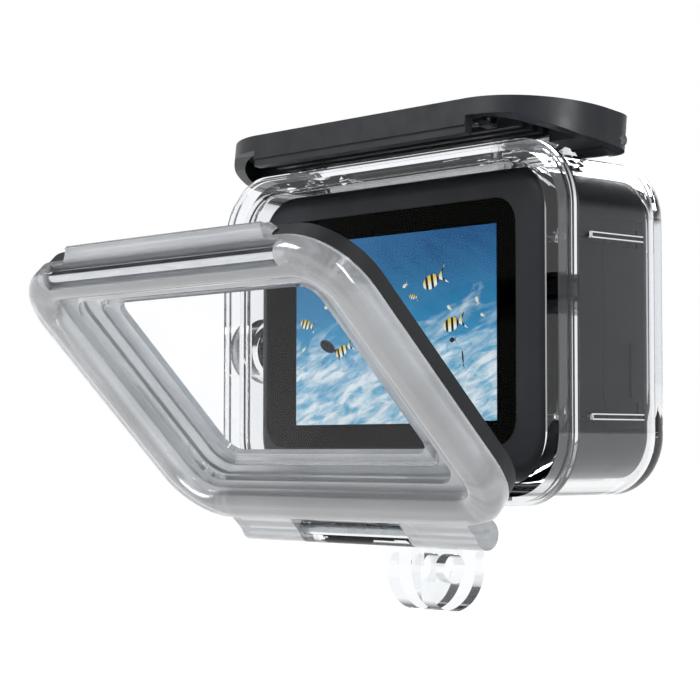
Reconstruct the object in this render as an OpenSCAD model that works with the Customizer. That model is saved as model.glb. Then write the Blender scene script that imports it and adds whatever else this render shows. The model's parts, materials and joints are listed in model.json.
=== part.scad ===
// Action camera in a clear waterproof housing with a bottom-hinged rear door and a top latch.
// Millimetres. +X is the viewer's right from behind, +Y is the way the lens looks, +Z is up.
// The origin is the centre of the bore through the two mounting prongs.

/* [Camera body] */
// Width of the camera
cam_w = 71.4; // [66:0.2:78]
// Height of the camera
cam_h = 50.8; // [47:0.2:56]
// Depth of the camera without its lens
cam_d = 24; // [23:0.2:28]
// Corner radius of the camera, seen from behind
cam_r = 8; // [5:0.5:10]
// Edge rounding of the camera
cam_edge = 2.6; // [1:0.1:3]
// Wall of the camera's two cases
cam_wall = 1.6; // [1.2:0.1:2]

/* [Screen] */
// Distance of the rear cover glass from the camera's sides, on average
glass_side = 5.1; // [4.4:0.1:7]
// Distance of the rear cover glass from the camera's top and bottom, on average
glass_top = 5.4; // [4.6:0.1:7]
// Thickness of the rear cover glass
glass_t = 0.8; // [0.5:0.1:1.2]
// Offset of the cover glass from the camera's middle
glass_dx = -2.4; // [-3:0.1:3]
// Black border beside the lit picture
lit_side = 6; // [4:0.1:8]
// Black border above and below the lit picture
lit_top = 4; // [2:0.1:5]
// Offset of the lit picture from the camera's middle
lit_dx = -1.2; // [-2:0.1:2]

/* [Lens] */
// Distance of the lens from the camera's side
lens_in = 19.7; // [18:0.1:22]
// Height of the lens above the camera's middle
lens_dz = 6.5; // [4:0.5:7]
// Side of the square lens cover
lens_w = 27; // [24:0.5:32]
// How far the lens cover stands out of the camera
lens_rise = 8.6; // [7:0.2:10]

/* [Housing] */
// Gap between the camera and the housing, each side
side_gap = 0.9; // [0.7:0.1:1.5]
// Gap between the camera and the housing, top and bottom
seat_gap = 0.3; // [0.2:0.05:0.5]
// Side wall of the housing
side_wall = 1.8; // [1.6:0.1:2.6]
// Roof and floor of the housing
roof_wall = 2; // [1.8:0.1:2.6]
// Front wall of the housing
front_wall = 2.2; // [1.8:0.1:3]
// Corner radius of the housing, seen from behind
shell_r = 10; // [8:0.5:12]
// How far the rear flange stands out at the sides
flange_side = 3.9; // [3:0.1:5]
// How far the rear flange stands out above and below
flange_lip = 1.4; // [1:0.1:2]
// Thickness of the rear flange
flange_t = 3.2; // [2.6:0.1:4]
// How far the rear flange reaches behind the camera
flange_back = 3; // [2.4:0.1:4]
// How far the raised front block stands out
block_rise = 4.5; // [3:0.5:6]
// How far the square lens port reaches past the lens cover, each side
port_rim = 5.5; // [5:0.1:6.5]
// How far the lens port stands out of the raised block
port_rise = 4.5; // [4:0.5:8]

/* [Mounting prongs] */
// Radius of the bore through the prongs
bore_r = 2.5; // [2:0.05:3]
// Thickness of one prong
prong_t = 3; // [2.6:0.1:3.4]
// Gap between the prongs
prong_gap = 3.1; // [2.8:0.1:3.6]
// End radius of the prongs
prong_r = 7.3; // [6:0.1:8]
// Distance from the bore to the underside of the housing
prong_len = 12.8; // [11:0.2:16]
// Distance from the camera's back to the bore
bore_ahead = 10; // [8.5:0.5:14]

/* [Door] */
// Angle that the door stands open
door_open = 45; // [20:1:90]
// Width of the door's tube-like rim
rim_w = 6.2; // [5:0.1:7]
// Thickness of the door's rim
rim_t = 4.4; // [4:0.1:5]
// Thickness of the rubber gasket
gasket_t = 2.4; // [1.6:0.1:3]
// Width of the rubber gasket
gasket_w = 6.8; // [6.4:0.1:7]
// Thickness of the clear window
pane_t = 1.5; // [1.2:0.1:2]
// Height of the latch ridge above the rim
ridge_h = 1.7; // [1.2:0.1:2]
// Distance of the latch ridge's ends from the door's sides
ridge_in = 15.5; // [15:0.1:20]
// Radius of the steel catch rod
rod_r = 1.1; // [0.8:0.05:1.2]

/* [Hinge] */
// Distance of the hinge axis behind the flange
hinge_back = 4.2; // [4:0.1:6]
// Distance of the hinge axis below the flange
hinge_drop = 4.4; // [4.2:0.1:6]
// Radius of the hinge knuckles
knuckle_r = 2.5; // [2:0.1:2.7]
// Radius of the hinge pin
hinge_pin_r = 0.8; // [0.6:0.05:1.2]
// Distance of the hinge's ends from the door's sides
hinge_in = 11.3; // [10:0.1:14]
// Length of the housing's middle knuckle
hinge_mid = 26; // [20:0.5:30]

/* [Latch lever] */
// How far the lever is raised, in degrees
lever_tilt = 6.5; // [6:0.1:10]
// How far the lever stands out of the housing's sides
lever_side = 3.4; // [3:0.1:4.6]
// How far the lever reaches behind the door's ridge
hook_back = 4.6; // [4.2:0.1:5]
// Top of the lever above its pivot
lever_top = 4.2; // [3.8:0.1:5]
// Thickness of the lever's plate
lever_plate = 1.8; // [1.4:0.1:2]
// Radius of the pivot pins
pivot_r = 0.9; // [0.7:0.05:1.2]
// Distance of the pivot ahead of the bore
pivot_y = 0.6; // [0:0.1:1.5]
// Height of the pivot above the housing's roof
pivot_rise = 1.3; // [1.2:0.1:2]

/* [Push buttons] */
// Travel of each push button
travel = 1.2; // [0.8:0.1:1.3]
// Radius of the button caps
cap_r = 4.3; // [4.2:0.1:5.2]
// Radius of the button stems
stem_r = 1.2; // [1:0.05:1.3]
// Sideways place of the shutter button
shutter_x = 18; // [14:0.5:22]
// Distance of the shutter button ahead of the bore
shutter_y = 5.5; // [4:0.5:7]
// Height of the mode button below the camera's middle
mode_drop = 1.6; // [0:0.2:6]
// Distance of the mode button ahead of the camera's back
mode_ahead = 6.4; // [6:0.1:6.8]

/* [Hidden] */
$fn = 64;
eps = 0.01;
run_fit = 0.05;
slip = 0.1;

// Camera planes
cam_y0 = -bore_ahead;
cam_y1 = cam_y0 + cam_d;
split_y = cam_y0 + 10;
lens_y1 = cam_y1 + lens_rise;
lens_x = lens_in - cam_w / 2;
glass_w = cam_w - 2 * glass_side;
glass_h = cam_h - 2 * glass_top;
lit_w = glass_w - 2 * lit_side;
lit_h = glass_h - 2 * lit_top;

// Housing cavity and shell
cav_w = cam_w + 2 * side_gap;
cav_h = cam_h + 2 * seat_gap;
cav_r = shell_r - side_wall;
shell_w = cav_w + 2 * side_wall;
shell_h = cav_h + 2 * roof_wall;
mid_z = prong_len + shell_h / 2;
front_in = cam_y1 + seat_gap;
front_out = front_in + front_wall;
shell_edge = 3.5;
side_rib = 1.1;
roof_z = mid_z + shell_h / 2;
ceiling_z = mid_z + cav_h / 2;

// Rear flange
flange_w = shell_w + 2 * flange_side;
flange_h = shell_h + 2 * flange_lip;
flange_r = shell_r + 1.4;
flange_y0 = cam_y0 - flange_back;
flange_y1 = flange_y0 + flange_t;

// Raised front block and lens port
block_w = shell_w - 10.6;
block_h = shell_h - 11.7;
block_z = mid_z + 3.6;
block_r = 9;
block_y1 = front_out + block_rise;
port_y1 = block_y1 + port_rise;
port_w = lens_w + 2 * port_rim;
port_r = 7.5;
port_z = mid_z + lens_dz;
port_bore = lens_w + 0.8;
port_bore_r = 5.4;
window_w = port_bore + 2.6;
window_t = 2;
window_r = 4;
seal_t = 0.6;
retainer_t = 2;
port_screw_at = port_w / 2 - 3.1;
screw_r = 0.8;
screw_head_r = 1.6;

// Door, drawn shut and then swung open about the hinge
hinge_y = flange_y0 - hinge_back;
hinge_z = mid_z - flange_h / 2 - hinge_drop;
gasket_gap = 0.1;
gasket_in = 0.5;
gasket_y1 = flange_y0 - gasket_gap;
rim_y1 = gasket_y1 - gasket_t;
rim_y0 = rim_y1 - rim_t;
door_w = flange_w - 4.6;
door_h = flange_h - 0.4;
door_r = flange_r - 0.4;
door_z = mid_z - 1.1;
door_top = door_z + door_h / 2;
door_bottom = door_z - door_h / 2;
open_w = door_w - 2 * rim_w;
open_h = door_h - 2 * rim_w;
open_r = door_r - rim_w;
step_x = 3.05;
step_z = 1.7;
step_wall = 0.6;
step_t = 1.3;
step_y0 = rim_y1 - 1.8;
step_y1 = rim_y1 + 0.3;
step_y2 = step_y1 + pane_t;
ridge_len = door_w - 2 * ridge_in;
ridge_back = 1.9;
ridge_scoop = 3.2;
hinge_w = door_w - 2 * hinge_in;
notch_drop = 3;
notch_w = ridge_len + 9;
ridge_y = hinge_y + 2.3;
rod_z = door_top - notch_drop + rod_r + slip;
rod_y = hinge_y - 0.9;

// Lever, drawn level about its pivot and then raised
pivot_z = roof_z + pivot_rise;
ear_r = pivot_r + 1;
ear_in = shell_w / 2 - 8.4;
ear_out = shell_w / 2 - 5.8;
ear_web = 5;
hub_in = ear_out + 0.6;
hub_r = pivot_r + 1.3;
arm_in = shell_w / 2 + 0.4;
lever_w = shell_w + 2 * lever_side;
lever_reach = pivot_y - ridge_y + hook_back;
lever_r = 16;
lip_len = ridge_len + 3;
lip_t = 1.5;
lip_clear = 0.35;
lip_raise = (lever_reach - 0.3) * sin(lever_tilt);
lip_drop = (pivot_z + lip_raise - door_top - ridge_h - lip_clear) / cos(lever_tilt);
skirt_t = 2;
beam_front = -4.6;
rail_step = 2.4;
arm_back = -8;
arm_front = 3;
bar_y = 3.4 - lever_reach;
bar_z = 1.3;
bar_r = 0.9;
lug_at = lip_len / 2 + 0.6;
lug_t = 2;

// Push buttons, drawn along an outward axis from the wall's outer face
guard_h = 3.4;
guard_in = cap_r + 0.5;
guard_r = guard_in + 1.3;
gland_r = stem_r + 1.8;
gland_h = 1.4;
seal_r = stem_r + 1;
cap_low = gland_h + travel + 0.3;
cap_top = cap_low + 2.1;
clip_r = stem_r + 1.2;
clip_t = 0.5;
clip_room = 0.8;
mode_z = mid_z - mode_drop;
mode_y = cam_y0 + mode_ahead;
shutter_button_r = 4.7;
mode_button_r = 3.1;
key_flange = 0.5;
button_proud = 0.1;

// Camera insides
mask_t = 0.2;
panel_t = 1.5;
backing_t = 0.6;
board_t = 1;
panel_y = cam_y0 + glass_t + mask_t;
backing_y = panel_y + panel_t + 0.1;
board_y = backing_y + backing_t + 0.6;
room_w = cam_w - 2 * cam_wall;
room_h = cam_h - 2 * cam_wall - 4;
board_w = room_w - 6.2;
board_h = room_h - 1.6;
board_screw_at = [board_w / 2 - 3, board_h / 2 - 4];
chip_t = 0.9;
barrel_bore = 9.6;
battery_x0 = lens_x + barrel_bore + 7.9;
battery_w = room_w / 2 - 2.2 - battery_x0;
battery_h = room_h - 5.6;
battery_d = 11.5;
lit_z = mid_z + 0.5;
lens_z = port_z;
front_screen_x0 = lens_x + lens_w / 2 + 5.5;
front_screen_w = cam_w / 2 - 4.7 - front_screen_x0;
front_screen_x = front_screen_x0 + front_screen_w / 2;
front_screen_h = cam_h - 26.8;
front_screen_t = 0.8;
status_x = lens_x + lens_w / 2 + 4;
status_z = mid_z + cam_h / 2 - 5.4;
grille_z = mid_z - cam_h / 2 + 7.4;
side_door_y = split_y + 6.4;
side_door_d = 10;
side_door_h = cam_h - 16.8;
side_door_t = 1.4;
prong_pocket = 2.4;

// ---------- shared shapes ----------

// A rounded rectangle with true arcs, centred on the origin
module round_rect(w, h, r) {
    square([w - 2 * r, h], center = true);
    square([w, h - 2 * r], center = true);
    for (sx = [-1, 1])
        for (sy = [-1, 1])
            translate([sx * (w / 2 - r), sy * (h / 2 - r)]) circle(r);
}

// Stands a flat outline up in the XZ plane and gives it a depth from y0 to y1
module upright(y0, y1) {
    translate([0, y1, 0]) rotate([90, 0, 0]) linear_extrude(height = y1 - y0) children();
}

// A rounded plate standing in the XZ plane
module plate(w, h, r, y0, y1) {
    upright(y0, y1) round_rect(w, h, r);
}

// Sweeps a profile round a rounded rectangle. The profile's x counts from the corner's centre.
module rim_sweep(w, h, r) {
    for (quarter = [0:3]) {
        sx = (quarter == 0 || quarter == 3) ? 1 : -1;
        sz = quarter < 2 ? -1 : 1;
        translate([sx * (w / 2 - r), 0, sz * (h / 2 - r)])
            rotate([0, quarter * 90, 0]) rotate([-90, 0, 0]) rotate_extrude(angle = 90) children();
    }
    for (side = [0, 1]) {
        mirror([side, 0, 0]) translate([w / 2 - r, 0, 0])
            linear_extrude(height = h - 2 * r, center = true) children();
        mirror([0, 0, side]) translate([0, 0, h / 2 - r]) rotate([0, -90, 0])
            linear_extrude(height = w - 2 * r, center = true) children();
    }
}

// The profile from a corner's centre out to radius r, with its two outer edges rounded
module edge_profile(r, y0, y1, e0, e1) {
    translate([0, y0]) square([r - e0, e0 + eps]);
    translate([0, y1 - e1 - eps]) square([r - e1, e1 + eps]);
    translate([0, y0 + e0]) square([r, y1 - y0 - e0 - e1]);
    if (e0 > 0) translate([r - e0, y0 + e0]) circle(e0);
    if (e1 > 0) translate([r - e1, y1 - e1]) circle(e1);
}

// A rounded block whose rear and front edges are rounded by e0 and e1
module soft_block(w, h, r, y0, y1, e0, e1) {
    rim_sweep(w, h, r) edge_profile(r, y0, y1, e0, e1);
    translate([r - w / 2 - eps, y0, r - h / 2 - eps])
        cube([w - 2 * r + 2 * eps, y1 - y0, h - 2 * r + 2 * eps]);
}

// A cylinder along X from x0 to x1
module x_rod(r, x0, x1) {
    translate([x0, 0, 0]) rotate([0, 90, 0]) cylinder(r = r, h = x1 - x0);
}

// A cylinder along Y from y0 to y1
module y_rod(r, y0, y1) {
    translate([0, y0, 0]) rotate([-90, 0, 0]) cylinder(r = r, h = y1 - y0);
}

// Places children on the shutter button's outward axis
module at_shutter() {
    translate([shutter_x, shutter_y, roof_z]) children();
}

// Places children on the mode button's outward axis
module at_mode() {
    translate([-shell_w / 2, mode_y, mode_z]) rotate([0, -90, 0]) children();
}

// Swings children from the shut door to the open one
module swing_door() {
    translate([0, hinge_y, hinge_z]) rotate([door_open, 0, 0]) translate([0, -hinge_y, -hinge_z])
        children();
}

// Raises children from the level lever to the raised one
module raise_lever() {
    translate([0, pivot_y, pivot_z]) rotate([-lever_tilt, 0, 0]) children();
}

// ---------- housing ----------

module button_boss() {
    difference() {
        translate([0, 0, -0.5]) cylinder(r = guard_r, h = guard_h + 0.5);
        cylinder(r = guard_in, h = guard_h + 1);
    }
    translate([0, 0, -0.5]) cylinder(r = gland_r, h = gland_h + 0.5);
}

module button_cut(wall) {
    translate([0, 0, -wall - 1]) cylinder(r = stem_r + run_fit, h = wall + gland_h + 2);
    translate([0, 0, -wall - 1]) cylinder(r = clip_r + 0.6, h = 1 + clip_room);
    translate([0, 0, -0.2]) cylinder(r = seal_r, h = 1);
}

module pivot_ear() {
    post = ear_r - 0.4;
    translate([ear_in, pivot_y, pivot_z]) {
        x_rod(ear_r, 0, ear_out - ear_in);
        // A post with a sloped web behind it
        rotate([90, 0, 90]) linear_extrude(height = ear_out - ear_in)
            polygon([
                [post, -pivot_rise - 1.6], [post, 0], [-post, 0.6],
                [-ear_web, -pivot_rise], [-ear_web, -pivot_rise - 1.6]
            ]);
    }
}

module prong() {
    rotate([90, 0, 90]) linear_extrude(height = prong_t) {
        circle(prong_r);
        translate([-prong_r, 0]) square([2 * prong_r, prong_len + 0.5]);
    }
}

module hinge_arm() {
    flange_low = mid_z - flange_h / 2;
    translate([-hinge_mid / 2, 0, 0]) rotate([90, 0, 90]) linear_extrude(height = hinge_mid)
        polygon([
            [flange_y0, flange_low + 1], [flange_y1, flange_low + 1], [flange_y1, flange_low - 2.4],
            [hinge_y + 1.6, hinge_z - knuckle_r + 0.5], [hinge_y, hinge_z],
            [hinge_y, hinge_z + 2.2], [flange_y0, flange_low - 0.6]
        ]);
    translate([0, hinge_y, hinge_z]) x_rod(knuckle_r, -hinge_mid / 2, hinge_mid / 2);
}

module housing_shell() {
    color([0.86, 0.9, 0.94, 0.35]) difference() {
        union() {
            translate([0, 0, mid_z]) {
                soft_block(shell_w, shell_h, shell_r, flange_y0 + 1, front_out, 0, shell_edge);
                plate(flange_w - 1.2, flange_h - 1.2, flange_r - 0.6, flange_y0, flange_y0 + 0.8);
                plate(flange_w, flange_h, flange_r, flange_y0 + 0.6, flange_y1 - 1);
                plate(flange_w - 1.8, flange_h - 1.4, flange_r - 0.8, flange_y1 - 1.2, flange_y1);
            }
            translate([0, 0, block_z])
                soft_block(block_w, block_h, block_r, front_out - 3, block_y1, 0, 2);
            translate([lens_x, 0, port_z]) plate(port_w, port_w, port_r, front_out - 1, port_y1);
            for (side = [0, 1]) mirror([side, 0, 0]) {
                pivot_ear();
                translate([prong_gap / 2, 0, 0]) prong();
                for (z = [13.3, -15.5])
                    translate([shell_w / 2 - 0.3, flange_y1 + 5.6, lit_z + z - 0.5])
                        cube([side_rib, 12.7, 1]);
            }
            translate([-11, -9, prong_len - 1.2]) cube([22, 18, 1.7]);
            hinge_arm();
            at_shutter() button_boss();
            at_mode() button_boss();
        }
        translate([0, 0, mid_z]) {
            soft_block(cav_w, cav_h, cav_r, flange_y0 - 1, front_in, 0, 2.4);
            plate(cav_w + 1.2, cav_h + 0.6, cav_r + 0.4, flange_y0 - 1, flange_y0 + 1);
        }
        translate([0, 0, block_z])
            plate(block_w - 5, block_h - 5, block_r - 2.5, front_in - 1, block_y1 - front_wall);
        translate([lens_x, 0, port_z]) {
            plate(port_bore, port_bore, port_bore_r, front_in - 1, port_y1 + 1);
            plate(window_w + slip, window_w + slip, window_r, port_y1 - window_t - seal_t, port_y1 + 1);
            for (sx = [-1, 1])
                for (sz = [-1, 1])
                    translate([sx * port_screw_at, 0, sz * port_screw_at])
                        y_rod(screw_r + run_fit, port_y1 - 4, port_y1 + 1);
        }
        translate([front_screen_x, 0, port_z - 4])
            plate(front_screen_w - 2, front_screen_h - 2, 2, block_y1 - 0.5, block_y1 + 1);
        x_rod(bore_r, -10, 10);
        translate([0, hinge_y, hinge_z]) x_rod(hinge_pin_r + 0.02, -hinge_mid, hinge_mid);
        for (side = [0, 1]) mirror([side, 0, 0]) translate([ear_in - 1, pivot_y, pivot_z])
            x_rod(pivot_r + run_fit, 0, 5);
        at_shutter() button_cut(roof_wall);
        at_mode() button_cut(side_wall);
    }
    // Ribs that hold the camera off the side walls
    color([0.86, 0.9, 0.94, 0.35]) for (side = [0, 1]) mirror([side, 0, 0])
        for (z = [-14, 14])
            translate([cav_w / 2 - side_gap + seat_gap, cam_y0 + 3, mid_z + z - 1.5])
                cube([side_gap, 16, 3]);
}

module port_seal() {
    color("#26282b") translate([lens_x, 0, port_z])
        difference() {
            plate(window_w, window_w, window_r, port_y1 - window_t - seal_t, port_y1 - window_t);
            plate(port_bore, port_bore, port_bore_r, port_y1 - 5, port_y1);
        }
}

module port_window() {
    color([0.8, 0.88, 0.92, 0.4]) translate([lens_x, 0, port_z])
        plate(window_w, window_w, window_r, port_y1 - window_t, port_y1);
}

module port_retainer() {
    color("#34373b") translate([lens_x, 0, port_z]) difference() {
        soft_block(port_w, port_w, port_r, port_y1, port_y1 + retainer_t, 0, 0.8);
        plate(window_w - 4, window_w - 4, 4, port_y1 - 1, port_y1 + retainer_t + 1);
        for (sx = [-1, 1])
            for (sz = [-1, 1])
                translate([sx * port_screw_at, 0, sz * port_screw_at]) {
                    y_rod(screw_r + run_fit, port_y1 - 1, port_y1 + 3);
                    y_rod(screw_head_r + run_fit, port_y1 + retainer_t - 1.1, port_y1 + 3);
                }
    }
}

module port_screws() {
    color("#b9bcc0") translate([lens_x, 0, port_z])
        for (sx = [-1, 1])
            for (sz = [-1, 1])
                translate([sx * port_screw_at, 0, sz * port_screw_at]) difference() {
                    union() {
                        y_rod(screw_r, port_y1 - 3.6, port_y1 + retainer_t - 1);
                        y_rod(screw_head_r, port_y1 + retainer_t - 1.1, port_y1 + retainer_t - 0.2);
                    }
                    translate([0, port_y1 + retainer_t, 0]) cube([2.2, 1.2, 0.4], center = true);
                    translate([0, port_y1 + retainer_t, 0]) cube([0.4, 1.2, 2.2], center = true);
                }
}

module hinge_pin() {
    color("#c3c6ca") translate([0, hinge_y, hinge_z])
        x_rod(hinge_pin_r, 1.5 - hinge_w / 2, hinge_w / 2 - 1.5);
}

// ---------- push buttons ----------

module stem_seal() {
    translate([0, 0, 0.3]) rotate_extrude() translate([(stem_r + seal_r) / 2, 0])
        circle((seal_r - stem_r) / 2 - 0.04, $fn = 24);
}

// A flat-wire compression spring: a sector of a ring, twisted as it rises
module coil_spring(r_in, r_out, length, pitch, wire) {
    sector = 360 * wire / pitch;
    steps = 3;
    linear_extrude(height = length, twist = -360 * length / pitch, slices = 44, $fn = 8)
        polygon(concat(
            [for (k = [0:steps]) r_in * [cos(sector * k / steps), sin(sector * k / steps)]],
            [for (k = [steps:-1:0]) r_out * [cos(sector * k / steps), sin(sector * k / steps)]]
        ));
}

module button_spring() {
    translate([0, 0, slip]) coil_spring(gland_r + 0.2, gland_r + 0.8, cap_low + 1 - slip, 1, 0.35);
}

module button_cap() {
    difference() {
        union() {
            translate([0, 0, cap_low]) cylinder(r = cap_r, h = cap_top - cap_low - 0.5);
            translate([0, 0, cap_top - 0.6]) cylinder(r = cap_r - 0.4, h = 0.6);
        }
        translate([0, 0, cap_low - 1]) cylinder(r = stem_r + 0.01, h = 2.2);
        difference() {
            translate([0, 0, cap_low - 1]) cylinder(r = gland_r + 0.95, h = 2.1);
            translate([0, 0, cap_low - 1]) cylinder(r = gland_r, h = 2.2);
        }
        translate([0, 0, cap_top + 5.4]) sphere(6);
    }
}

module button_stem(wall, reach) {
    translate([0, 0, -wall - reach]) cylinder(r = stem_r, h = wall + reach + cap_low + 1.1);
}

module button_clip(wall) {
    translate([0, 0, clip_room - wall - clip_t - slip]) difference() {
        cylinder(r = clip_r, h = clip_t);
        translate([0, 0, -1]) cylinder(r = stem_r + 0.01, h = 3);
        translate([-0.9, 0, -1]) cube([1.8, 4, 3]);
    }
}

module shutter_seal() { color("#202224") at_shutter() stem_seal(); }
module shutter_spring() { color("#c3c6ca") at_shutter() button_spring(); }
module shutter_cap() { color("#c9ced3") at_shutter() button_cap(); }
module shutter_stem() { color("#c3c6ca") at_shutter() button_stem(roof_wall, -slip); }
module shutter_clip() { color("#9a9da1") at_shutter() button_clip(roof_wall); }
module mode_seal() { color("#202224") at_mode() stem_seal(); }
module mode_spring() { color("#c3c6ca") at_mode() button_spring(); }
module mode_cap() { color("#c9ced3") at_mode() button_cap(); }
module mode_stem() { color("#c3c6ca") at_mode() button_stem(side_wall, side_gap - 2 * slip); }
module mode_clip() { color("#9a9da1") at_mode() button_clip(side_wall); }

module camera_shutter_button() {
    low = cam_wall + 0.6;
    color("#4a4e53") translate([shutter_x, shutter_y, ceiling_z - seat_gap]) {
        translate([0, 0, -low]) cylinder(r = shutter_button_r, h = low + button_proud);
        translate([0, 0, -low - 0.8]) cylinder(r = shutter_button_r + key_flange, h = 0.9);
    }
}

module camera_mode_button() {
    low = cam_wall + 0.6;
    color("#4a4e53") translate([-cam_w / 2, mode_y, mode_z]) rotate([0, -90, 0]) {
        translate([0, 0, -low]) cylinder(r = mode_button_r, h = low + button_proud);
        translate([0, 0, -low - 0.8]) cylinder(r = mode_button_r + key_flange, h = 0.9);
    }
}

// ---------- door ----------

module rim_profile() {
    inner = door_r - rim_w;
    soft = 2.1;
    translate([inner, rim_y0 + soft]) square([rim_w - 0.6, rim_t - soft]);
    translate([inner, rim_y0 + soft]) square([rim_w, rim_t - soft - 0.6]);
    translate([inner + soft, rim_y0]) square([rim_w - 2 * soft, soft + eps]);
    translate([inner + soft, rim_y0 + soft]) circle(soft);
    translate([door_r - soft, rim_y0 + soft]) circle(soft);
}

module door_ridge() {
    base = door_top - notch_drop - 0.5;
    difference() {
        translate([-ridge_len / 2 - 1.5, 0, 0]) rotate([90, 0, 90]) linear_extrude(height = ridge_len + 3)
            polygon([
                [ridge_y - ridge_back, base], [rim_y1, base], [rim_y1, door_top - gasket_in + 0.2],
                [ridge_y + 0.9, door_top - gasket_in + 0.2], [ridge_y + 0.9, door_top],
                [ridge_y + 0.2, door_top + ridge_h], [ridge_y - 0.2, door_top + ridge_h],
                [ridge_y - ridge_back, door_top - 0.2]
            ]);
        // Hollowed ends
        for (side = [0, 1]) mirror([side, 0, 0])
            translate([ridge_len / 2 + ridge_scoop, 0, door_top + ridge_h + 0.6])
                y_rod(ridge_scoop, ridge_y - 6, rim_y1 + 1);
    }
}

module door_knuckle() {
    x0 = hinge_mid / 2 + 0.3;
    length = hinge_w / 2 - x0;
    translate([0, hinge_y, hinge_z]) x_rod(knuckle_r, x0, x0 + length);
    translate([x0, hinge_y - knuckle_r + 0.3, hinge_z])
        cube([length, rim_y1 - hinge_y + knuckle_r - 0.8, door_bottom - hinge_z + 1.5]);
}

// The door's opening, k steps in and grown by g
module stepped_plate(k, g, y0, y1) {
    plate(open_w - 2 * step_x * k + 2 * g, open_h - 2 * step_z * k + 2 * g,
        open_r - 0.6 * k + g, y0, y1);
}

// Three steps that lead in from the rim, the last one under the window
module window_steps() {
    difference() {
        stepped_plate(0, 1, step_y0, rim_y1 - 0.1);
        stepped_plate(1, 0, step_y0 - 1, rim_y1 + 1);
    }
    difference() {
        stepped_plate(1, step_wall, step_y1 - 1, step_y1 + step_t);
        stepped_plate(1, 0, step_y1 - 2, step_y1);
        stepped_plate(2, 0, step_y1 - 2, step_y2 + 2);
    }
    difference() {
        stepped_plate(2, step_wall, step_y2 - 1, step_y2 + 1.1);
        stepped_plate(2, 0, step_y2 - 2, step_y2);
        stepped_plate(3, 0, step_y2 - 2, step_y2 + 2);
    }
}

module door_frame() {
    color("#b9bdc2") swing_door() difference() {
        union() {
            difference() {
                translate([0, 0, door_z]) {
                    rim_sweep(door_w, door_h, door_r) rim_profile();
                    window_steps();
                }
                translate([-notch_w / 2, rim_y0 - 1, door_top - notch_drop])
                    cube([notch_w, ridge_y - ridge_back - rim_y0 + 1, notch_drop + 1]);
            }
            door_ridge();
            for (side = [0, 1]) mirror([side, 0, 0]) door_knuckle();
        }
        translate([0, hinge_y, hinge_z]) x_rod(hinge_pin_r + run_fit, -hinge_w, hinge_w);
        translate([0, rod_y, rod_z]) x_rod(rod_r + 0.01, -notch_w / 2 - 2, notch_w / 2 + 2);
    }
}

module door_window() {
    color([0.85, 0.9, 0.94, 0.3]) swing_door() translate([0, 0, door_z])
        stepped_plate(2, -slip, step_y1, step_y2);
}

module door_gasket() {
    color("#55585b") swing_door() translate([0, 0, door_z]) {
        difference() {
            plate(door_w - 2 * gasket_in, door_h - 2 * gasket_in, door_r - gasket_in, rim_y1, gasket_y1);
            plate(door_w - 2 * gasket_w, door_h - 2 * gasket_w, door_r - gasket_w,
                rim_y1 - 1, gasket_y1 + 1);
            difference() {
                plate(door_w - 3.4, door_h - 3.4, door_r - 1.7, gasket_y1 - 0.5, gasket_y1 + 1);
                plate(door_w - 5.8, door_h - 5.8, door_r - 2.9, gasket_y1 - 1, gasket_y1 + 2);
            }
        }
    }
}

module catch_rod() {
    color("#d2d5d8") swing_door() translate([0, rod_y, rod_z])
        x_rod(rod_r, -notch_w / 2 - 1.8, notch_w / 2 + 1.8);
}

// ---------- latch lever ----------

// The lever's outline from above, level, drawn about the pivot
module lever_outline(inset) {
    half = lever_w / 2;
    front_r = 4 - inset / 2;
    for (side = [0, 1]) mirror([side, 0]) {
        intersection() {
            translate([half - lever_r, lever_r - lever_reach]) circle(lever_r - inset);
            translate([0, -lever_reach]) square([half, lever_r]);
        }
        translate([half - 4 - inset / 2, arm_front - 4 - inset / 2]) circle(front_r);
        translate([0, lever_r - lever_reach]) square([half - inset, arm_front - 4 + lever_reach - lever_r]);
        translate([0, inset - lever_reach]) square([half - lever_r, lever_r]);
        translate([0, 0]) square([half - 4 - inset / 2, arm_front - inset]);
    }
}

module lever_skirt_relief() {
    // Clears the skirt's lower edge, which rises towards the rear corners
    x0 = lip_len / 2;
    translate([x0, 0, 0]) rotate([90, 0, 90]) linear_extrude(height = lever_w)
        polygon([
            [-lever_reach - 1, -4], [-lever_reach - 1, 1.4], [2.4 - lever_reach, 1.4],
            [5.5 - lever_reach, 0.1], [11 - lever_reach, -1.1], [arm_front + 1, -1.6], [arm_front + 1, -4]
        ]);
}

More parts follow.
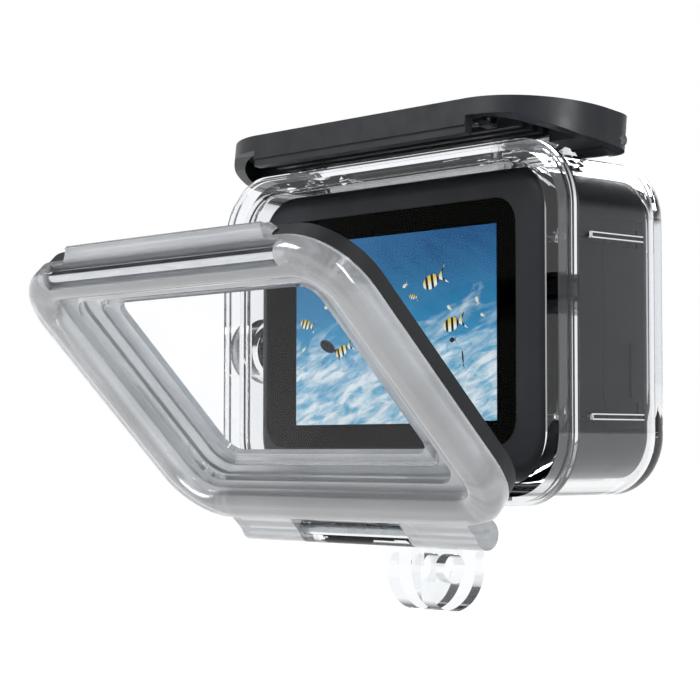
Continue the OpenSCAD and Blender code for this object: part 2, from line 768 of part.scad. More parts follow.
module latch_lever() {
    low = lever_top - lever_plate;
    color("#3d4146") raise_lever() difference() {
        union() {
            difference() {
                translate([0, 0, -2]) linear_extrude(height = lever_top + 2) lever_outline(0);
                translate([0, 0, -3]) linear_extrude(height = low + 3) lever_outline(skirt_t);
                for (side = [0, 1]) mirror([side, 0, 0]) lever_skirt_relief();
                translate([-lip_len / 2 - eps, -lever_reach - 1, -4])
                    cube([lip_len + 2 * eps, 30, 3.9]);
            }
            // Thicker arms at the pivots
            for (side = [0, 1]) mirror([side, 0, 0])
                translate([arm_in, arm_back, -1.1])
                    cube([lever_w / 2 - arm_in - 0.5, arm_front - arm_back - 2, low + 1.3]);
            // Lip that hooks behind the door's ridge
            translate([-lip_len / 2, 0.3 - lever_reach, -lip_drop])
                cube([lip_len, lip_t, lip_drop + 1.5]);
            // Stiffening rails under the beam
            for (k = [0:3])
                translate([-lever_w / 2 + 10.8, beam_front - 1.2 - k * rail_step, 0.7])
                    cube([lever_w - 21.6, 1, low - 0.6]);
            // Lugs that carry the clear latch bar
            for (side = [0, 1]) mirror([side, 0, 0])
                translate([lug_at, bar_y - 0.8, bar_z - 1.2]) cube([lug_t, 2.2, low - bar_z + 1.3]);
        }
        // The open middle between the arms
        translate([-arm_in + 2.2, beam_front, -5]) cube([2 * arm_in - 4.4, 20, 14]);
        for (side = [0, 1]) mirror([side, 0, 0]) {
            x_rod(pivot_r + 0.02, arm_in - 1, lever_w);
            translate([0, bar_y, bar_z]) x_rod(bar_r + 0.02, lug_at - 1, lug_at + lug_t + 1);
        }
    }
    // Hubs that reach in from the arms to the housing's ears
    color("#3d4146") raise_lever() for (side = [0, 1]) mirror([side, 0, 0]) difference() {
        union() {
            x_rod(hub_r, hub_in, arm_in + 0.5);
            translate([hub_in, arm_back, -1.1]) cube([arm_in + 0.5 - hub_in, -arm_back, low + 1.2]);
        }
        x_rod(pivot_r + 0.02, hub_in - 1, lever_w);
    }
}

module latch_bar() {
    color([0.86, 0.9, 0.94, 0.4]) raise_lever() translate([0, bar_y, bar_z])
        x_rod(bar_r, -lug_at - lug_t - 0.4, lug_at + lug_t + 0.4);
}

module pivot_pins() {
    color("#c3c6ca") raise_lever() for (side = [0, 1]) mirror([side, 0, 0])
        x_rod(pivot_r, ear_in + 0.2, lever_w / 2);
}

// ---------- camera ----------

module screen_recess() {
    translate([glass_dx, 0, lit_z])
        plate(glass_w + slip, glass_h + slip, 4.5, cam_y0 - 1, panel_y);
    translate([lit_dx, 0, lit_z])
        plate(lit_w + 2.4, lit_h + 2.4, 0.3, cam_y0 - 1, cam_y0 + 5);
}

module prong_recess() {
    low = mid_z - cam_h / 2;
    translate([-14, cam_y0 + 4, low - 1]) cube([28, 16, prong_pocket + 1]);
}

module camera_rear_case() {
    color("#2f3337") difference() {
        translate([0, 0, mid_z])
            soft_block(cam_w, cam_h, cam_r, cam_y0, split_y, cam_edge, 0);
        translate([0, 0, mid_z])
            plate(room_w, room_h, cam_r - cam_wall, cam_y0 + 2.2, split_y + 1);
        screen_recess();
        prong_recess();
        translate([-cam_w / 2 - 1, mode_y, mode_z]) x_rod(mode_button_r + slip, 0, 4);
    }
}

module camera_front_case() {
    color("#2b2e32") difference() {
        translate([0, 0, mid_z])
            soft_block(cam_w, cam_h, cam_r, split_y, cam_y1, 0, cam_edge);
        translate([0, 0, mid_z])
            plate(room_w, room_h, cam_r - cam_wall, split_y - 1, cam_y1 - 1.8);
        translate([lens_x, 0, lens_z]) y_rod(barrel_bore, cam_y1 - 4, cam_y1 + 1);
        translate([front_screen_x, 0, mid_z + 2])
            plate(front_screen_w + slip, front_screen_h + slip, 3, cam_y1 - front_screen_t, cam_y1 + 1);
        translate([shutter_x, shutter_y, mid_z]) cylinder(r = shutter_button_r + slip, h = cam_h);
        translate([shutter_x, shutter_y, ceiling_z - seat_gap - cam_wall - 3])
            cylinder(r = shutter_button_r + key_flange + 0.3, h = 3);
        translate([cam_w / 2 - 3, side_door_y - side_door_d / 2, mid_z - side_door_h / 2])
            cube([4, side_door_d, side_door_h]);
        translate([status_x, 0, status_z]) y_rod(1.1, cam_y1 - 4, cam_y1 + 1);
        translate([lens_x + 2, 0, grille_z]) plate(8, 2.4, 1.1, cam_y1 - 4, cam_y1 + 1);
        prong_recess();
    }
}

module screen_glass() {
    color([0.2, 0.22, 0.25, 0.5]) translate([glass_dx, 0, lit_z])
        plate(glass_w, glass_h, 4.5, cam_y0, cam_y0 + glass_t);
}

module screen_mask() {
    color("#101113") difference() {
        translate([glass_dx, 0, lit_z])
            plate(glass_w, glass_h, 4.5, cam_y0 + glass_t, panel_y);
        translate([lit_dx - lit_w / 2, cam_y0, lit_z - lit_h / 2]) cube([lit_w, 3, lit_h]);
    }
}

module display_panel() {
    color("#3f8fd0") translate([lit_dx - lit_w / 2 - 1, panel_y, lit_z - lit_h / 2 - 1])
        cube([lit_w + 2, panel_t, lit_h + 2]);
}

module display_backing() {
    color("#8a8d91") translate([lit_dx - lit_w / 2 - 2, backing_y, lit_z - lit_h / 2 - 2])
        cube([lit_w + 4, backing_t, lit_h + 4]);
}

module mainboard() {
    color("#1f5a3a") difference() {
        translate([0, 0, mid_z]) plate(board_w, board_h, 4, board_y, board_y + board_t);
        for (sx = [-1, 1])
            translate([sx * board_screw_at[0], 0, mid_z + board_screw_at[1]])
                y_rod(1.2, board_y - 1, board_y + 3);
    }
    color("#202326") {
        translate([-4, board_y + board_t, mid_z - 16]) cube([10, chip_t, 10]);
        translate([lens_x - 8, board_y + board_t, mid_z - 17]) cube([14, chip_t, 8]);
    }
}

module battery() {
    color("#1d1f22") translate([battery_x0, board_y + board_t + chip_t + 0.2, mid_z - battery_h / 2 - 1])
        cube([battery_w, battery_d, battery_h]);
}

module battery_door() {
    color("#34383c") translate([cam_w / 2 - side_door_t, side_door_y - side_door_d / 2 + slip,
        mid_z - side_door_h / 2 + slip]) difference() {
            cube([side_door_t, side_door_d - 2 * slip, side_door_h - 2 * slip]);
            translate([side_door_t - 0.4, side_door_d / 2 - 2.1, 5]) cube([1, 4, 9]);
        }
}

module memory_card() {
    color("#15171a") translate([battery_x0 - 4.5, board_y + board_t + 0.3, mid_z - 4]) cube([1, 15, 11]);
}

module lens_cover() {
    color("#26292d") translate([lens_x, 0, lens_z]) difference() {
        soft_block(lens_w, lens_w, 5, cam_y1, lens_y1, 0, 1.2);
        y_rod(barrel_bore, cam_y1 - 1, lens_y1 + 1);
        plate(lens_w - 5, lens_w - 5, 3.4, lens_y1 - 1.4, lens_y1 + 1);
    }
}

module lens_cover_glass() {
    color([0.5, 0.6, 0.7, 0.4]) translate([lens_x, 0, lens_z])
        plate(lens_w - 5.2, lens_w - 5.2, 3.3, lens_y1 - 1.4, lens_y1 - 0.2);
}

module lens_barrel() {
    color("#17191b") translate([lens_x, 0, lens_z]) difference() {
        union() {
            y_rod(barrel_bore - 1, board_y + board_t + 2.6, cam_y1 + 2);
            y_rod(barrel_bore - 0.2, cam_y1 - 1.6, cam_y1 + 5);
        }
        y_rod(6.4, board_y + board_t + 4.6, cam_y1 + 8);
        y_rod(8.2, cam_y1 + 3.4, cam_y1 + 8);
    }
}

module lens_front_element() {
    dome = 11;
    color([0.25, 0.3, 0.42, 0.6]) translate([lens_x, cam_y1 + 3.4, lens_z]) intersection() {
        translate([0, 3.2 - dome, 0]) sphere(dome);
        y_rod(8.1, 0.05, 5);
    }
}

module image_sensor() {
    color("#3a4a5a") translate([lens_x - 7, board_y + board_t + 0.95, lens_z - 6]) cube([14, 1.5, 12]);
}

module front_screen() {
    color("#0e0f11") translate([front_screen_x, 0, mid_z + 2])
        plate(front_screen_w, front_screen_h, 3, cam_y1 - front_screen_t, cam_y1);
}

module speaker() {
    color("#6c7074") translate([lens_x - 8, 0, grille_z]) difference() {
        plate(12, 5, 2, cam_y1 - 4.4, cam_y1 - 1.9);
        plate(8, 2, 0.9, cam_y1 - 2.6, cam_y1 - 1);
    }
}

module microphone_mesh() {
    color("#5d6165") translate([lens_x + 2, 0, grille_z]) plate(7.8, 2.2, 1, cam_y1 - 1.7, cam_y1 - 0.3);
}

module status_light() {
    color("#c23b30") translate([status_x, 0, status_z]) y_rod(1, cam_y1 - 1.6, cam_y1);
}

module case_screws() {
    color("#a9acb0") for (sx = [-1, 1])
        translate([sx * board_screw_at[0], 0, mid_z + board_screw_at[1]]) {
            y_rod(1.1, board_y - 0.4, board_y + board_t);
            y_rod(1.9, board_y + board_t, board_y + board_t + 1);
        }
}

module folding_prongs() {
    low = mid_z - cam_h / 2;
    color("#33373b") for (side = [0, 1]) mirror([side, 0, 0])
        translate([7, cam_y0 + 12, low + 0.2]) difference() {
            union() {
                cylinder(r = 6.3, h = 2);
                translate([-6.2, -2, 0]) cube([6.2, 4, 2]);
            }
            translate([0, 0, -1]) cylinder(r = bore_r, h = 4);
        }
}

housing_shell();
port_window();
port_seal();
port_retainer();
port_screws();
hinge_pin();
shutter_seal();
shutter_spring();
mode_seal();
mode_spring();
door_frame();
door_window();
door_gasket();
catch_rod();
latch_lever();
latch_bar();
pivot_pins();
shutter_cap();
shutter_stem();
shutter_clip();
mode_cap();
mode_stem();
mode_clip();
camera_shutter_button();
camera_mode_button();
camera_rear_case();
camera_front_case();
screen_glass();
screen_mask();
display_panel();
display_backing();
mainboard();
battery();
battery_door();
memory_card();
lens_cover();
lens_cover_glass();
lens_barrel();
lens_front_element();
image_sensor();
front_screen();
speaker();
microphone_mesh();
status_light();
case_screws();
folding_prongs();
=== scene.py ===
import json
import math

import bpy
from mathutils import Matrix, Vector


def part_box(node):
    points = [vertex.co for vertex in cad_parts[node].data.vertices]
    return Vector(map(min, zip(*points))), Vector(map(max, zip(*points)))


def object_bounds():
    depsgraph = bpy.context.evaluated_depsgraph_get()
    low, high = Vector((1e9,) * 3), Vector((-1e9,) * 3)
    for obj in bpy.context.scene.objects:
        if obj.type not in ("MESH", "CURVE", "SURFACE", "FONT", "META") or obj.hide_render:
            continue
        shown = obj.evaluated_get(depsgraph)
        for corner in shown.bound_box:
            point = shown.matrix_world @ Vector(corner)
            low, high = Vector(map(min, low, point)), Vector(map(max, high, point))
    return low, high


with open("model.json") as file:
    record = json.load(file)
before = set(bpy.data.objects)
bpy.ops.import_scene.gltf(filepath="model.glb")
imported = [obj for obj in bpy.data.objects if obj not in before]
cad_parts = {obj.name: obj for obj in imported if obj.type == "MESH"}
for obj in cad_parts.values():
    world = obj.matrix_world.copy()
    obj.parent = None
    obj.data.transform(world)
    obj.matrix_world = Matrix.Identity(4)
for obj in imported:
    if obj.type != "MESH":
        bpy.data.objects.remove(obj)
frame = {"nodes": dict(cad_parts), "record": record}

cad_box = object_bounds()
nodes = frame["nodes"]

MM = 0.001
WHITE = (1, 1, 1, 1)

# Refractive indices: thin covers use a low one, so that what lies behind them stays in place
PLASTIC_IOR = 1.56
COVER_IOR = 1.12
FROST_IOR = 1.5
PRONG_IOR = 1.2
LENS_IOR = 1.6
PORT_IOR = 1.5

# The housing shell's ribs, in mm: heights of their middles, half their height, width of the painted
# highlight line along their edges, just inside their outer faces, rear ends, and slack for these tests
RIB_HEIGHTS = (54.3, 25.5)
RIB_HALF = 0.5
RIB_HIGHLIGHT_WIDTH = 0.2
RIB_FACE = 39.1
RIB_REAR = -4.2
RIB_SLACK = 0.1

# The heights between which the prongs' index passes into the shell's, in mm
PRONG_FADE = (7.0, 10.0)

# The display: the dark margin around its lit area in mm, and a factor on its fish's sizes
LIT_MARGIN = 1.0
FISH_SIZE = 0.82

FLOOR_GAP = 0.3 * MM
FLOOR_RADIUS = 8


# ---------- camera ----------

camera_data = bpy.data.cameras.new("camera")
camera_data.lens = 104.09
camera_data.sensor_width = 36
camera_data.clip_start = 0.01
camera_data.clip_end = 100
camera = bpy.data.objects.new("camera", camera_data)
camera.location = (0.24828, -0.24726, 0.02025)
camera.rotation_euler = [math.radians(a) for a in (92.827, 0, 47.539)]
bpy.context.scene.collection.objects.link(camera)
bpy.context.scene.camera = camera


# ---------- studio ----------

def linear(hex_colour):
    """sRGB hex to linear RGBA."""
    out = []
    for k in (1, 3, 5):
        c = int(hex_colour[k : k + 2], 16) / 255
        out.append(c / 12.92 if c <= 0.04045 else ((c + 0.055) / 1.055) ** 2.4)
    return tuple(out) + (1.0,)


bpy.context.scene.view_settings.view_transform = "Standard"

world = bpy.data.worlds.new("studio")
bpy.context.scene.world = world
world.use_nodes = True
wn, wl = world.node_tree.nodes, world.node_tree.links
wn.clear()


def world_node(kind, links=(), **settings):
    """A world node; links pairs each of its inputs with the socket that feeds it."""
    n = wn.new(kind)
    for key, value in settings.items():
        setattr(n, key, value)
    for key, source in links:
        wl.new(source, n.inputs[key])
    return n


def world_ramp(value, stops):
    """The colour of value on a ramp of (position, grey) stops, its two ends first."""
    n = world_node("ShaderNodeValToRGB", [("Fac", value)])
    ramp = n.color_ramp
    for k, (at, grey) in enumerate(stops):
        e = ramp.elements[k] if k < 2 else ramp.elements.new(at)
        e.position = at
        e.color = (grey, grey, grey * 1.01, 1)
    return n.outputs["Color"]


# What the object reflects: a white horizon under a black ceiling, times a grey wall on the right
w_direction = world_node("ShaderNodeTexCoord").outputs["Generated"]
w_split = world_node("ShaderNodeSeparateXYZ", [(0, w_direction)])
w_height = world_node("ShaderNodeMapRange", [("Value", w_split.outputs["Z"])])
w_height.inputs["From Min"].default_value = -1
w_sky = world_ramp(w_height.outputs["Result"],
                   [(0.0, 0.85), (1.0, 0.04), (0.48, 1.0), (0.59, 1.0), (0.66, 0.06)])
w_facing = world_node("ShaderNodeVectorMath", [(0, w_direction)], operation="DOT_PRODUCT")
w_facing.inputs[1].default_value = (0.97, -0.24, 0.0)
w_wall = world_ramp(w_facing.outputs["Value"], [(0.0, 1.0), (1.0, 0.32), (0.20, 1.0), (0.48, 0.36)])
w_room = world_node("ShaderNodeMix", [(6, w_sky), (7, w_wall)], data_type="RGBA", blend_type="MULTIPLY")
w_room.inputs[0].default_value = 1.0

# What the camera sees of the world: plain white
w_seen = world_node("ShaderNodeLightPath").outputs["Is Camera Ray"]
w_final = world_node("ShaderNodeMix", [(0, w_seen), (6, w_room.outputs[2])], data_type="RGBA")
w_final.inputs[7].default_value = WHITE
w_background = world_node("ShaderNodeBackground", [("Color", w_final.outputs[2])])
world_node("ShaderNodeOutputWorld", [(0, w_background.outputs[0])])


def softbox(name, place, aim, size, power):
    """A white rectangular light at place, aimed at a point; metres and watts."""
    data = bpy.data.lights.new(name, "AREA")
    data.shape = "RECTANGLE"
    data.size, data.size_y = size
    data.energy = power
    light = bpy.data.objects.new(name, data)
    light.location = place
    light.rotation_euler = (Vector(aim) - Vector(place)).to_track_quat("-Z", "Y").to_euler()
    bpy.context.scene.collection.objects.link(light)


middle = (0, 0, 0.035)
softbox("key", (-0.35, -0.60, 0.75), middle, (0.55, 0.35), 9)
softbox("side", (0.75, -0.10, 0.35), middle, (0.14, 0.60), 3.4)
softbox("back", (-0.30, 0.70, 0.55), middle, (0.60, 0.25), 5)


# ---------- materials ----------

class Mat:
    """A Principled material, with short calls for its procedural nodes."""

    def __init__(self, name, **sockets):
        self.mat = bpy.data.materials.new(name)
        self.mat.use_nodes = True
        self.nt = self.mat.node_tree
        self.bsdf = self.nt.nodes["Principled BSDF"]
        self.coords = self.node("ShaderNodeTexCoord").outputs["Object"]
        for key, value in sockets.items():
            self.bsdf.inputs[key.replace("_", " ")].default_value = value

    def node(self, kind, **settings):
        """A new node with its settings."""
        n = self.nt.nodes.new(kind)
        for key, value in settings.items():
            setattr(n, key, value)
        return n

    def plug(self, value, socket):
        """Links value into socket if it is a socket itself, or else sets it there."""
        if isinstance(value, bpy.types.NodeSocket):
            self.nt.links.new(value, socket)
        else:
            socket.default_value = value

    def math(self, operation, *values):
        n = self.node("ShaderNodeMath", operation=operation)
        for k, v in enumerate(values):
            self.plug(v, n.inputs[k])
        return n.outputs[0]

    def split(self):
        """The object's x, y and z in mm."""
        n = self.node("ShaderNodeSeparateXYZ")
        self.nt.links.new(self.coords, n.inputs[0])
        return [self.math("DIVIDE", n.outputs[axis], MM) for axis in "XYZ"]

    def stretch(self, scale):
        n = self.node("ShaderNodeMapping")
        n.inputs["Scale"].default_value = scale
        self.nt.links.new(self.coords, n.inputs["Vector"])
        return n.outputs[0]

    def noise(self, scale, detail=3, rough=0.5, vector=None, distortion=0):
        n = self.node("ShaderNodeTexNoise")
        n.inputs["Scale"].default_value = scale
        n.inputs["Detail"].default_value = detail
        n.inputs["Roughness"].default_value = rough
        n.inputs["Distortion"].default_value = distortion
        self.nt.links.new(vector or self.coords, n.inputs["Vector"])
        return n.outputs["Fac"]

    def spread(self, value, low, high, at=(0.3, 0.7)):
        """value, read from at[0] to at[1], as low to high."""
        n = self.node("ShaderNodeMapRange")
        n.inputs["From Min"].default_value, n.inputs["From Max"].default_value = at
        n.inputs["To Min"].default_value, n.inputs["To Max"].default_value = low, high
        self.nt.links.new(value, n.inputs["Value"])
        return n.outputs["Result"]

    def blend(self, factor, a, b):
        """Colour a where factor is 0, colour b where it is 1."""
        n = self.node("ShaderNodeMix", data_type="RGBA")
        self.plug(factor, n.inputs[0])
        self.plug(a, n.inputs[6])
        self.plug(b, n.inputs[7])
        return n.outputs[2]

    def bump(self, height, depth):
        """A normal that follows height, over depth in mm."""
        n = self.node("ShaderNodeBump")
        n.inputs["Strength"].default_value = 1.0
        n.inputs["Distance"].default_value = depth * MM
        self.nt.links.new(height, n.inputs["Height"])
        return n.outputs["Normal"]

    def drive(self, **sockets):
        """Plugs values or sockets into the Principled node's inputs."""
        for key, value in sockets.items():
            self.plug(value, self.bsdf.inputs[key.replace("_", " ")])
        return self


def moulded(name, dark, light, rough, grain, depth, **sockets):
    """Textured plastic: two close colours, uneven gloss and a fine moulded grain."""
    m = Mat(name, **sockets)
    cloud = m.noise(60, 4)
    fine = m.noise(900, 2, 0.6)
    m.drive(
        Base_Color=m.blend(m.spread(cloud, 0, 1), linear(dark), linear(light)),
        Roughness=m.spread(m.noise(260, 3), rough - grain, rough + grain),
        Normal=m.bump(fine, depth),
    )
    return m.mat


def clear(name, tint, rough, ior, wave=0.0):
    """Polished clear plastic or glass: faint haze and slight waves."""
    m = Mat(name, IOR=ior, Transmission_Weight=1.0)
    haze = m.noise(90, 3)
    m.drive(
        Base_Color=m.blend(m.spread(haze, 0, 1), linear(tint), linear("#ffffff")),
        Roughness=m.spread(m.noise(150, 3), rough * 0.5, rough * 1.5),
    )
    if wave:
        m.drive(Normal=m.bump(m.noise(45, 1), wave))
    return m.mat


def metal(name, colour, rough, brushed=(1, 1, 1)):
    """Bare metal: fine lines, drawn out along the axes where brushed is under 1."""
    m = Mat(name, Metallic=1.0)
    lines = m.noise(1400, 3, 0.6, m.stretch(brushed))
    m.drive(
        Base_Color=m.blend(m.spread(lines, 0, 0.35), linear(colour), linear("#f2f3f4")),
        Roughness=m.spread(lines, rough * 0.7, rough * 1.4),
        Normal=m.bump(lines, 0.004),
    )
    return m.mat


def frosted():
    """Silver translucent plastic: satin gloss in long uneven streaks under a soft coat."""
    m = Mat("frosted polycarbonate", IOR=FROST_IOR, Transmission_Weight=0.70,
            Coat_Weight=1.0, Coat_Roughness=0.08, Coat_IOR=1.6)
    cloud = m.noise(70, 4)
    streak = m.noise(130, 4, 0.6, m.stretch((0.15, 1, 1)))
    m.drive(
        Base_Color=m.blend(m.spread(cloud, 0, 1), linear("#d9dde1"), linear("#eaedf0")),
        Roughness=m.spread(streak, 0.15, 0.25),
        Normal=m.bump(m.noise(1500, 2, 0.6), 0.002),
    )
    return m.mat


def shell():
    """The housing's clear plastic: painted highlight lines along its side ribs' edges, and prongs that
    look faint.
    """
    m = Mat("housing polycarbonate", Base_Color=linear("#f6f8f9"))
    x, y, z = m.split()

    # Painted highlight mask: 1 on the long edges and the rear end of each rib's outer face, 0 elsewhere
    lines = 0
    for height in RIB_HEIGHTS:
        off = m.math("ABSOLUTE", m.math("SUBTRACT", z, height))
        long_edge = m.math("GREATER_THAN", off, RIB_HALF - RIB_HIGHLIGHT_WIDTH)
        rear_end = m.math("LESS_THAN", y, RIB_REAR + RIB_HIGHLIGHT_WIDTH)
        on_rib = m.math("LESS_THAN", off, RIB_HALF + RIB_SLACK)
        rib_highlight = m.math("MULTIPLY", m.math("MAXIMUM", long_edge, rear_end), on_rib)
        lines = m.math("MAXIMUM", lines, rib_highlight)
    outer = m.math("GREATER_THAN", m.math("ABSOLUTE", x), RIB_FACE)
    ahead = m.math("GREATER_THAN", y, RIB_REAR - RIB_SLACK)
    lines = m.math("MULTIPLY", lines, m.math("MULTIPLY", outer, ahead))

    gloss = m.spread(m.noise(150, 3), 0.006, 0.018)
    # Where the mask is 1, less transmission and more roughness let the white base colour show as a
    # painted highlight line
    m.drive(
        IOR=m.spread(z, PRONG_IOR, PLASTIC_IOR, PRONG_FADE),
        Transmission_Weight=m.math("SUBTRACT", 1, m.math("MULTIPLY", lines, 0.8)),
        Roughness=m.math("ADD", gloss, m.math("MULTIPLY", lines, 0.3)),
        Normal=m.bump(m.noise(45, 1), 0.004),
    )
    return m.mat


CLEAR = clear("clear polycarbonate", "#f2f5f7", 0.012, PLASTIC_IOR, 0.004)
PANE = clear("door window", "#fbfcfd", 0.006, COVER_IOR)
FROST = frosted()
LEVER = moulded("lever plastic", "#1f2225", "#282b2f", 0.40, 0.06, 0.008, Specular_IOR_Level=0.4)
CAMERA = moulded("camera plastic", "#191d21", "#22262b", 0.50, 0.06, 0.010, Specular_IOR_Level=0.3)
BUTTON = moulded("button plastic", "#aeb4ba", "#c4c9ce", 0.25, 0.05, 0.004,
                 Transmission_Weight=0.5, IOR=FROST_IOR)
KEY = moulded("camera button", "#24272a", "#2e3135", 0.45, 0.05, 0.008)
RUBBER = moulded("seal rubber", "#151617", "#1f2022", 0.6, 0.08, 0.010)
GASKET = moulded("gasket rubber", "#191b1d", "#232527", 0.55, 0.08, 0.010, Specular_IOR_Level=0.35)
STEEL = metal("steel", "#a9acb0", 0.28, (0.2, 1, 1))
DARK_STEEL = metal("dark steel", "#3c3f43", 0.35, (0.2, 1, 1))
POLISHED = metal("polished steel", "#c9ccd0", 0.12, (0.15, 1, 1))
ALUMINIUM = metal("aluminium", "#9a9da1", 0.4, (0.2, 1, 1))
MESH = metal("speaker mesh", "#4a4d50", 0.5)
BLACK_PRINT = moulded("black print", "#0b0c0d", "#0e0f10", 0.5, 0.04, 0.0, Specular_IOR_Level=0.1)
BLACK_METAL = moulded("anodised black", "#0d0e0f", "#141517", 0.35, 0.06, 0.006, Metallic=0.6)
BLACK_GLOSS = moulded("front screen", "#08090a", "#0d0e10", 0.10, 0.02, 0.001, Coat_Weight=1.0)
BOARD = moulded("circuit board", "#0f3a24", "#17492f", 0.4, 0.06, 0.006)
WRAP = moulded("battery wrap", "#17181b", "#202226", 0.45, 0.06, 0.006)
SENSOR = moulded("sensor cover", "#1c2733", "#263443", 0.12, 0.03, 0.001)
STATUS = moulded("status light", "#6a1712", "#8a221b", 0.2, 0.04, 0.002)
PORT_GLASS = clear("port glass", "#e6eef2", 0.008, PORT_IOR, 0.001)
COVER_GLASS = clear("screen cover glass", "#f2f4f6", 0.008, COVER_IOR)
LENS_GLASS = clear("lens glass", "#c9d6ea", 0.008, LENS_IOR)


# Fish: across and down as shares of the lit area, length and height in mm, turn in degrees, kind
FISH = (
    (0.690, 0.27, 5.0, 3.1, -18, "striped"), (0.785, 0.50, 4.7, 3.0, -12, "striped"),
    (0.050, 0.44, 3.4, 2.2, 14, "striped"), (0.600, 0.34, 1.9, 1.2, 10, "striped"),
    (0.560, 0.28, 1.2, 0.8, -30, "pale"), (0.165, 0.35, 1.6, 1.0, -20, "pale"),
    (0.170, 0.57, 5.4, 2.6, 22, "dark"), (0.245, 0.60, 4.2, 2.4, -24, "striped"),
    (0.907, 0.38, 1.3, 0.9, 70, "pale"), (0.776, 0.41, 1.2, 0.8, 40, "pale"),
    (0.930, 0.46, 1.0, 0.7, 20, "pale"), (0.790, 0.58, 1.4, 1.1, 0, "dark"),
    (0.840, 0.67, 2.8, 0.5, 84, "dark"), (0.040, 0.58, 1.1, 0.7, -40, "pale"),
)


def fish_shape(m, along, down, radius):
    """1 inside an oval body and the forked tail behind it, 0 outside."""
    body = m.spread(radius, 1, 0, (0.86, 1.0))
    off = m.math("ABSOLUTE", down)
    width = m.math("MULTIPLY", m.math("SUBTRACT", along, 0.78), 1.15)
    end = m.math("ADD", 1.28, m.math("MULTIPLY", off, 0.5))
    tail = m.math("MULTIPLY", m.math("LESS_THAN", off, width), m.math("LESS_THAN", along, end))
    return m.math("MAXIMUM", body, tail)


def fish_skin(m, kind, along, down):
    """A fish's colour: plain dark, plain pale, or yellow to white with black bars."""
    if kind == "dark":
        return linear("#10151b")
    if kind == "pale":
        return m.blend(m.spread(down, 0, 1, (-0.6, 0.6)), linear("#d8d49a"), linear("#eef3f2"))
    skin = m.blend(m.spread(down, 0, 1, (-0.5, 0.35)), linear("#e2c93c"), linear("#f1f3ee"))
    phase = m.math("ADD", m.math("MULTIPLY", along, 9.5), m.math("MULTIPLY", down, 0.8))
    return m.blend(m.spread(m.math("SINE", phase), 0, 1, (0.05, 0.35)), skin, linear("#15181a"))


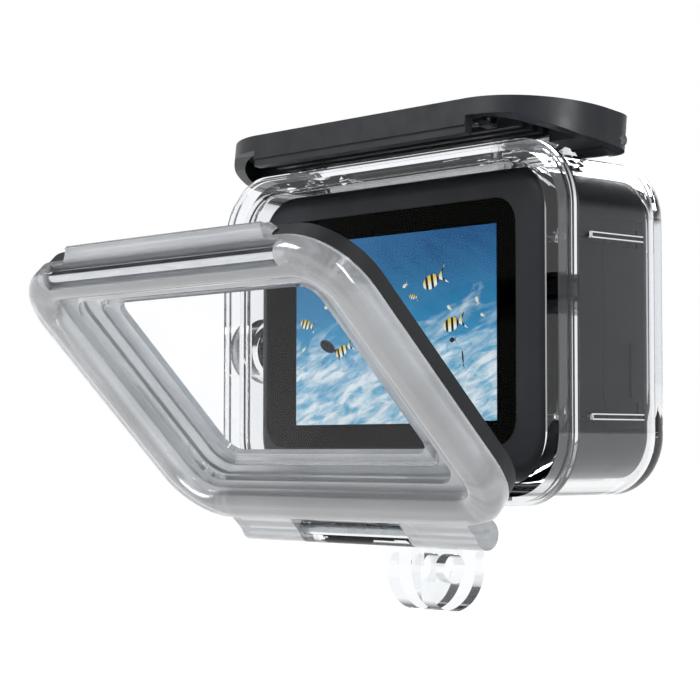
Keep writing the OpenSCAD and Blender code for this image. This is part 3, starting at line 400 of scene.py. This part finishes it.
def display():
    """The lit picture: sea over pale sand, with a few small fish."""
    m = Mat("display", Base_Color=linear("#050608"), Roughness=0.4, Specular_IOR_Level=0.1,
            Emission_Strength=0.92)
    low, high = (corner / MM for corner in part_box("display_panel"))
    lit_w = high.x - low.x - 2 * LIT_MARGIN
    lit_h = high.z - low.z - 2 * LIT_MARGIN

    # Millimetres across and down from the lit area's top left corner
    x, _, z = m.split()
    across = m.math("SUBTRACT", x, low.x + LIT_MARGIN)
    down = m.math("SUBTRACT", high.z - LIT_MARGIN, z)
    join = m.node("ShaderNodeCombineXYZ")
    m.nt.links.new(across, join.inputs[0])
    m.nt.links.new(down, join.inputs[1])

    def placed(place, turn, scale):
        """The same millimetres, measured from a place, turned by degrees and scaled."""
        n = m.node("ShaderNodeMapping", vector_type="TEXTURE")
        n.inputs["Location"].default_value = (*place, 0)
        n.inputs["Rotation"].default_value = (0, 0, math.radians(turn))
        n.inputs["Scale"].default_value = (*scale, 1)
        m.nt.links.new(join.outputs[0], n.inputs["Vector"])
        return n.outputs[0]

    # Sea: deep blue above, aqua lower down, paler in the top left corner, with soft rays
    u = m.math("DIVIDE", across, lit_w)
    v = m.math("DIVIDE", down, lit_h)
    rays = m.noise(0.9, 4, 0.55, placed((0, 0), -62, (1.6, 9)))
    depth = m.math("ADD", v, m.math("MULTIPLY", m.math("SUBTRACT", rays, 0.5), 0.22))
    colour = m.blend(m.spread(depth, 0, 1, (0.05, 0.62)), linear("#185488"), linear("#3a94c2"))
    corner = m.math("SUBTRACT", 1, m.math("ADD", u, m.math("MULTIPLY", v, 1.6)))
    colour = m.blend(m.spread(corner, 0, 0.40, (0.2, 1.0)), colour, linear("#4f9bd2"))

    # Sand: pale drifts in slanted streaks, rising to the right
    drift = m.noise(0.30, 5, 0.55, placed((3, 5), -16, (3.2, 1.2)), 0.5)
    drift = m.math("MULTIPLY", m.math("SUBTRACT", drift, 0.5), 1.3)
    edge = m.math("ADD", m.math("SUBTRACT", v, 0.56), drift)
    edge = m.math("ADD", edge, m.math("MULTIPLY", u, 0.06))
    ripple = m.noise(0.50, 5, 0.60, placed((7, 2), -20, (2.6, 0.8)), 0.5)
    sand = m.blend(m.spread(ripple, 0, 1, (0.36, 0.60)), linear("#5fa9cc"), linear("#e4eef3"))
    colour = m.blend(m.spread(edge, 0, 1, (-0.06, 0.22)), colour, sand)

    for x_share, y_share, length, height, turn, kind in FISH:
        half_size = (FISH_SIZE * length / 2, FISH_SIZE * height / 2)
        local = placed((x_share * lit_w, y_share * lit_h), turn, half_size)
        radius = m.node("ShaderNodeVectorMath", operation="LENGTH")
        m.nt.links.new(local, radius.inputs[0])
        part = m.node("ShaderNodeSeparateXYZ")
        m.nt.links.new(local, part.inputs[0])
        along, off = part.outputs["X"], part.outputs["Y"]
        shape = fish_shape(m, along, off, radius.outputs["Value"])
        colour = m.blend(shape, colour, fish_skin(m, kind, along, off))
    m.drive(Emission_Color=colour)
    return m.mat


FINISH = {
    "clear_polycarbonate": CLEAR, "frosted_polycarbonate": FROST, "port_glass": PORT_GLASS,
    "lever_plastic": LEVER, "rubber": RUBBER, "gasket_rubber": GASKET, "steel": STEEL,
    "polished_steel": POLISHED, "button_plastic": BUTTON, "camera_button_plastic": KEY,
    "camera_plastic": CAMERA, "screen_glass": COVER_GLASS, "black_print": BLACK_PRINT,
    "display": display(), "aluminium": ALUMINIUM, "circuit_board": BOARD, "battery_wrap": WRAP,
    "lens_glass": LENS_GLASS, "black_metal": BLACK_METAL, "sensor": SENSOR,
    "black_gloss": BLACK_GLOSS, "speaker_metal": MESH, "indicator": STATUS,
}
# Nodes that look different from the rest of their slot
OWN_FINISH = {"housing_shell": shell(), "door_window": PANE, "pivot_pins": DARK_STEEL}

for part in frame["record"]["subparts"]:
    finish = OWN_FINISH.get(part["node"], FINISH[part["material_slot"]])
    mesh = nodes[part["node"]].data
    mesh.materials.clear()
    mesh.materials.append(finish)


# ---------- floor ----------

floor_z = cad_box[0].z - FLOOR_GAP
bpy.ops.mesh.primitive_circle_add(
    vertices=96, radius=FLOOR_RADIUS, fill_type="NGON", location=(0, 0, floor_z))
floor = bpy.context.object
floor.name = "floor"
paper = Mat("paper", Roughness=0.9, Specular_IOR_Level=0.0, Emission_Strength=1.0)
paper.drive(
    Base_Color=paper.blend(paper.noise(3, 2), linear("#3c3c3c"), linear("#444444")),
    Emission_Color=WHITE,
)
floor.data.materials.append(paper.mat)
